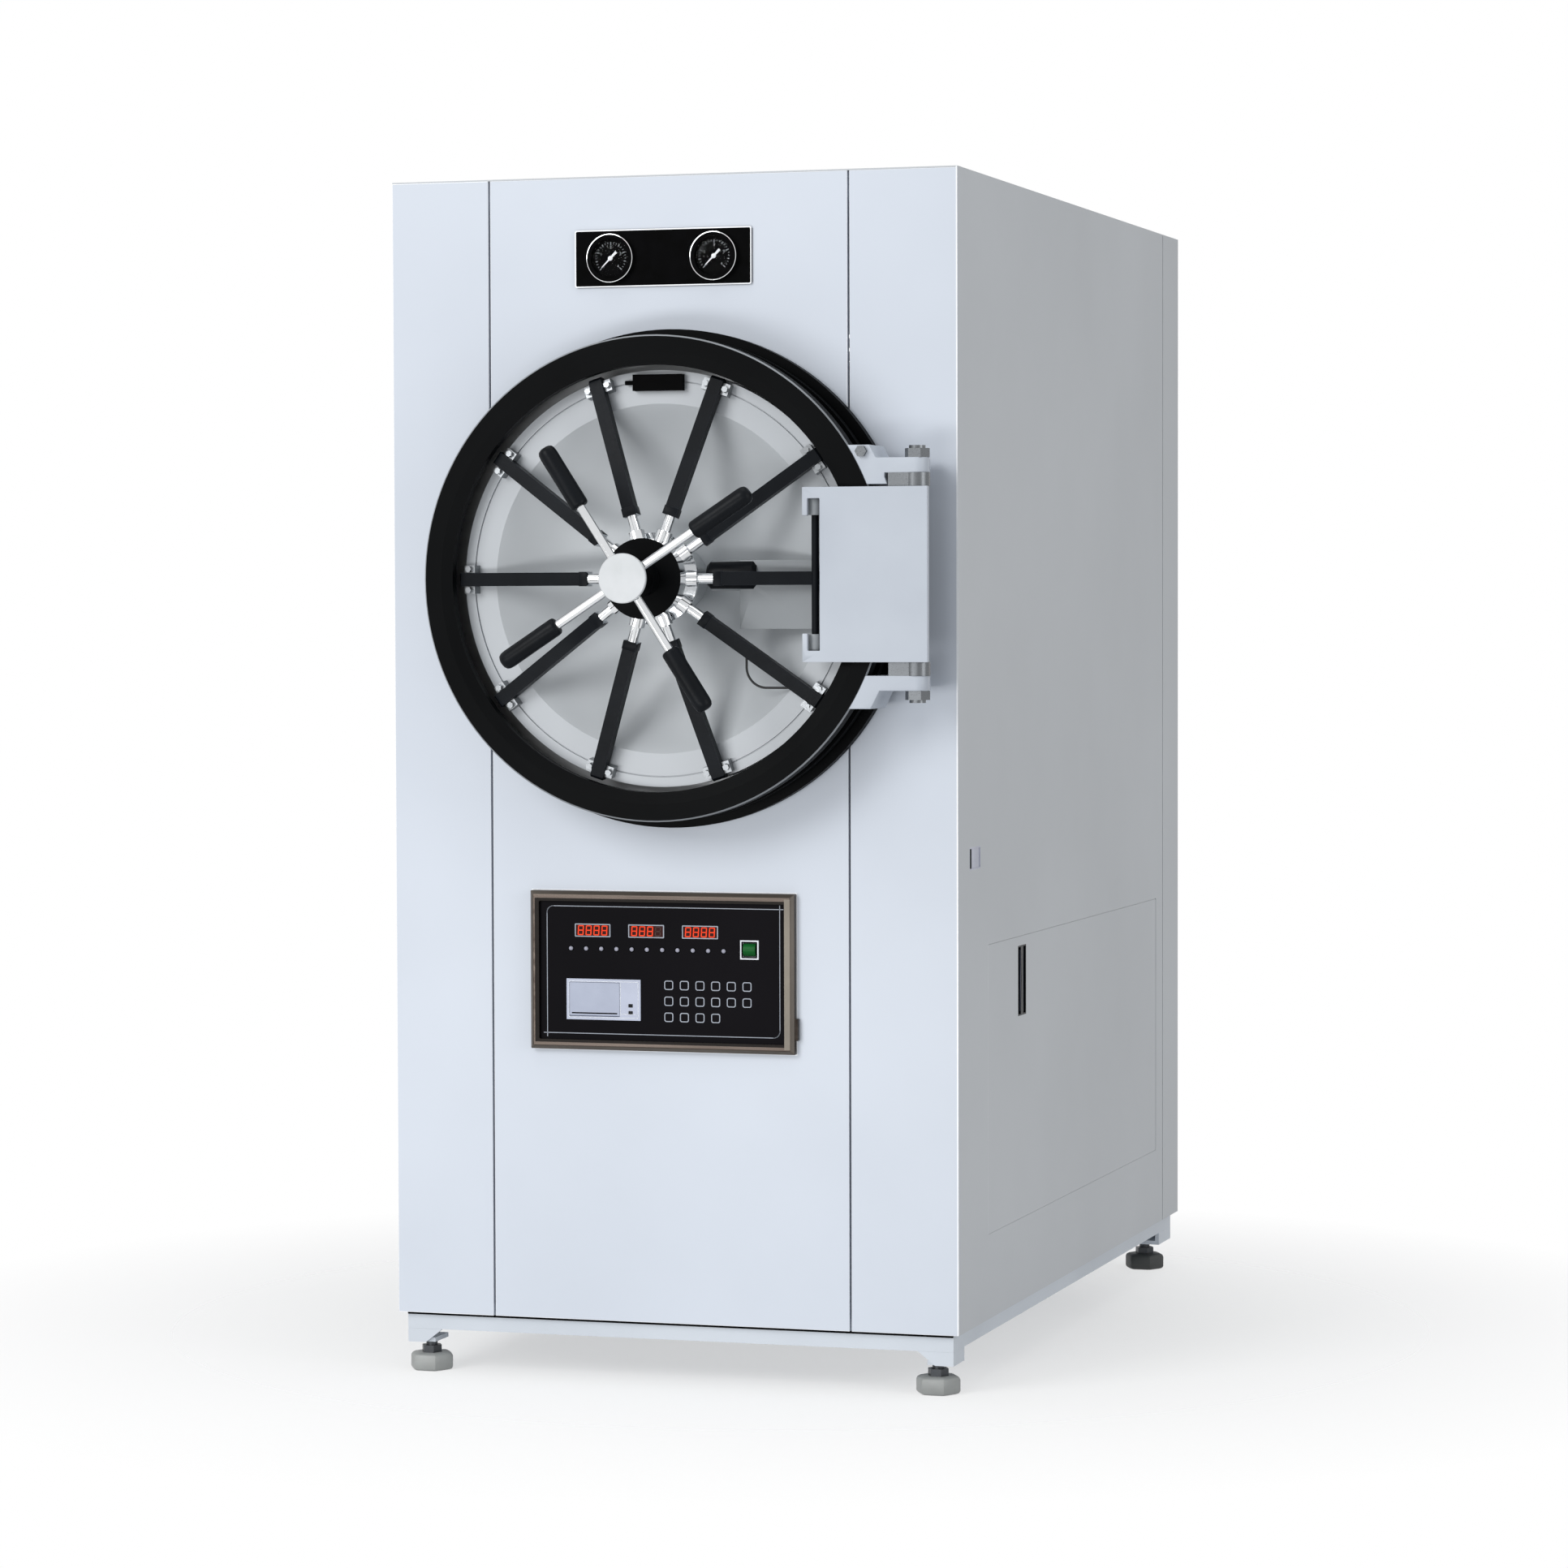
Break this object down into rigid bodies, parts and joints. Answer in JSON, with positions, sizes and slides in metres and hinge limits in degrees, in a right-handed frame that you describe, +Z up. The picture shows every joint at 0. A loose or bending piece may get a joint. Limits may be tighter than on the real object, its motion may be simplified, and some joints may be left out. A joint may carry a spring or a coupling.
{
  "type": "horizontal autoclave",
  "caption": "Floor-standing horizontal steam steriliser with a round radial-arm door, handwheel, pressure gauges, control panel with printer and a side service door.",
  "frame": {"origin": "on the floor, below the middle of the whole width and depth", "axes": "+Z up, +X to the right of a person who faces the door, +Y from the door towards the back"},
  "size_m": [0.808, 1.61, 1.65],
  "materials": {
    "front_paint": "light bluish grey powder coat",
    "side_paint": "mid grey powder coat",
    "frame_paint": "grey powder coat",
    "black_paint": "smooth black paint",
    "arm_steel": "dark oiled steel",
    "stainless": "brushed stainless steel",
    "door_paint": "silver-grey satin coat",
    "chrome": "bright plated",
    "black_plastic": "moulded",
    "foot_grey": "moulded",
    "film": "printed film",
    "display_red": "tinted window",
    "lamp_lens": "domed lens",
    "white_plastic": "moulded",
    "printer_plastic": "moulded",
    "rocker_green": "translucent",
    "needle_white": "painted",
    "rubber": "moulded",
    "blanket": "mineral wool",
    "brass": "turned",
    "pump_blue": "painted casting",
    "latch_plastic": "moulded"
  },
  "bodies": {
    "cabinet": {"cabinet_frame": "frame_paint", "foot_pads": "foot_grey", "foot_studs": "chrome", "front_panel_left": "front_paint", "front_panel_centre": "front_paint", "front_panel_right": "front_paint", "side_panel_left": "side_paint", "side_panel_right": "side_paint", "top_panel": "side_paint", "back_panel": "side_paint", "back_fittings": "brass", "gauge_plate": "film", "gauge_cases": "chrome", "control_frame": "stainless", "control_board": "film", "display_windows": "display_red", "indicator_lamps": "lamp_lens", "switch_bezel": "white_plastic", "printer_body": "printer_plastic", "chamber": "stainless", "insulation": "blanket", "door_ring": "black_paint", "hinge_lugs": "front_paint", "hinge_pin": "chrome", "hinge_hardware": "chrome", "side_latch": "latch_plastic", "steam_generator": "stainless", "water_pump": "pump_blue"},
    "gauge_needle_left": {"gauge_needle_left": "needle_white"},
    "gauge_needle_right": {"gauge_needle_right": "needle_white"},
    "power_rocker": {"power_rocker": "rocker_green"},
    "printer_door": {"printer_door": "printer_plastic"},
    "printer_button_upper": {"printer_button_upper": "black_plastic"},
    "printer_button_lower": {"printer_button_lower": "black_plastic"},
    "service_door": {"side_door": "side_paint", "side_pull": "black_plastic"},
    "hinge_link": {"hinge_link": "front_paint", "inner_hinge_pin": "arm_steel"},
    "door": {"door_plate": "door_paint", "door_gasket": "rubber", "hinge_arm": "frame_paint", "hub_housing": "black_paint", "hub_ring": "chrome", "arm_guides": "chrome", "interlock_switch": "black_plastic", "switch_cable": "rubber"},
    "handwheel": {"handwheel_spindle": "chrome", "handwheel_cap": "chrome", "handwheel_rods": "chrome", "handwheel_grips": "black_plastic"},
    "arm_01": {"locking_arm_01": "arm_steel"},
    "arm_02": {"locking_arm_02": "arm_steel"},
    "arm_03": {"locking_arm_03": "arm_steel"},
    "arm_04": {"locking_arm_04": "arm_steel"},
    "arm_05": {"locking_arm_05": "arm_steel"},
    "arm_06": {"locking_arm_06": "arm_steel"},
    "arm_07": {"locking_arm_07": "arm_steel"},
    "arm_08": {"locking_arm_08": "arm_steel"},
    "arm_09": {"locking_arm_09": "arm_steel"},
    "arm_10": {"locking_arm_10": "arm_steel"}
  },
  "joints": [
    {"name": "door_swing", "type": "hinge", "parent": "cabinet", "child": "hinge_link", "pos_m": [0.372, -0.675, 1.106], "axis": [0, 0, 1], "range_deg": [0, 120]},
    {"name": "door_float", "type": "hinge", "parent": "hinge_link", "child": "door", "pos_m": [0.232, -0.678, 1.106], "axis": [0, 0, 1], "range_deg": [0, 1.5]},
    {"name": "handwheel_turn", "type": "hinge", "parent": "door", "child": "handwheel", "pos_m": [0.004, -0.79, 1.1015], "axis": [0, 1, 0], "range_deg": [0, 90]},
    {"name": "arm_01_slide", "type": "slide", "parent": "door", "child": "arm_01", "axis": [0.9903, 0.1392, 0], "range_m": [0, 0.0201]},
    {"name": "arm_02_slide", "type": "slide", "parent": "door", "child": "arm_02", "axis": [0.8011, 0.1392, 0.5821], "range_m": [0, 0.0201]},
    {"name": "arm_03_slide", "type": "slide", "parent": "door", "child": "arm_03", "axis": [0.306, 0.1392, 0.9418], "range_m": [0, 0.0201]},
    {"name": "arm_04_slide", "type": "slide", "parent": "door", "child": "arm_04", "axis": [-0.306, 0.1392, 0.9418], "range_m": [0, 0.0201]},
    {"name": "arm_05_slide", "type": "slide", "parent": "door", "child": "arm_05", "axis": [-0.8011, 0.1392, 0.5821], "range_m": [0, 0.0201]},
    {"name": "arm_06_slide", "type": "slide", "parent": "door", "child": "arm_06", "axis": [-0.9903, 0.1392, 0], "range_m": [0, 0.0201]},
    {"name": "arm_07_slide", "type": "slide", "parent": "door", "child": "arm_07", "axis": [-0.8011, 0.1392, -0.5821], "range_m": [0, 0.0201]},
    {"name": "arm_08_slide", "type": "slide", "parent": "door", "child": "arm_08", "axis": [-0.306, 0.1392, -0.9418], "range_m": [0, 0.0201]},
    {"name": "arm_09_slide", "type": "slide", "parent": "door", "child": "arm_09", "axis": [0.306, 0.1392, -0.9418], "range_m": [0, 0.0201]},
    {"name": "arm_10_slide", "type": "slide", "parent": "door", "child": "arm_10", "axis": [0.8011, 0.1392, -0.5821], "range_m": [0, 0.0201]},
    {"name": "gauge_needle_left_turn", "type": "hinge", "parent": "cabinet", "child": "gauge_needle_left", "pos_m": [-0.083, -0.5973, 1.538], "axis": [0, 1, 0], "range_deg": [0, 270], "stiffness_Nm_per_rad": 0.001},
    {"name": "gauge_needle_right_turn", "type": "hinge", "parent": "cabinet", "child": "gauge_needle_right", "pos_m": [0.065, -0.5973, 1.538], "axis": [0, 1, 0], "range_deg": [0, 270], "stiffness_Nm_per_rad": 0.001},
    {"name": "power_rocker_tilt", "type": "hinge", "parent": "cabinet", "child": "power_rocker", "pos_m": [0.1138, -0.594, 0.5985], "axis": [1, 0, 0], "range_deg": [0, 14]},
    {"name": "printer_door_turn", "type": "hinge", "parent": "cabinet", "child": "printer_door", "pos_m": [-0.109, -0.5995, 0.5051], "axis": [1, 0, 0], "range_deg": [0, 80]},
    {"name": "printer_button_upper_press", "type": "slide", "parent": "cabinet", "child": "printer_button_upper", "axis": [0, 1, 0], "range_m": [0, 0.0008], "stiffness_N_per_m": 200},
    {"name": "printer_button_lower_press", "type": "slide", "parent": "cabinet", "child": "printer_button_lower", "axis": [0, 1, 0], "range_m": [0, 0.0008], "stiffness_N_per_m": 200},
    {"name": "service_door_swing", "type": "hinge", "parent": "cabinet", "child": "service_door", "pos_m": [0.395, 0.5985, 0.4], "axis": [0, 0, 1], "range_deg": [0, 100]}
  ],
  "couplings": [
    {"joint": "arm_01_slide", "follows": "handwheel_turn", "m_per_rad": 0.01273},
    {"joint": "arm_02_slide", "follows": "handwheel_turn", "m_per_rad": 0.01273},
    {"joint": "arm_03_slide", "follows": "handwheel_turn", "m_per_rad": 0.01273},
    {"joint": "arm_04_slide", "follows": "handwheel_turn", "m_per_rad": 0.01273},
    {"joint": "arm_05_slide", "follows": "handwheel_turn", "m_per_rad": 0.01273},
    {"joint": "arm_06_slide", "follows": "handwheel_turn", "m_per_rad": 0.01273},
    {"joint": "arm_07_slide", "follows": "handwheel_turn", "m_per_rad": 0.01273},
    {"joint": "arm_08_slide", "follows": "handwheel_turn", "m_per_rad": 0.01273},
    {"joint": "arm_09_slide", "follows": "handwheel_turn", "m_per_rad": 0.01273},
    {"joint": "arm_10_slide", "follows": "handwheel_turn", "m_per_rad": 0.01273}
  ]
}
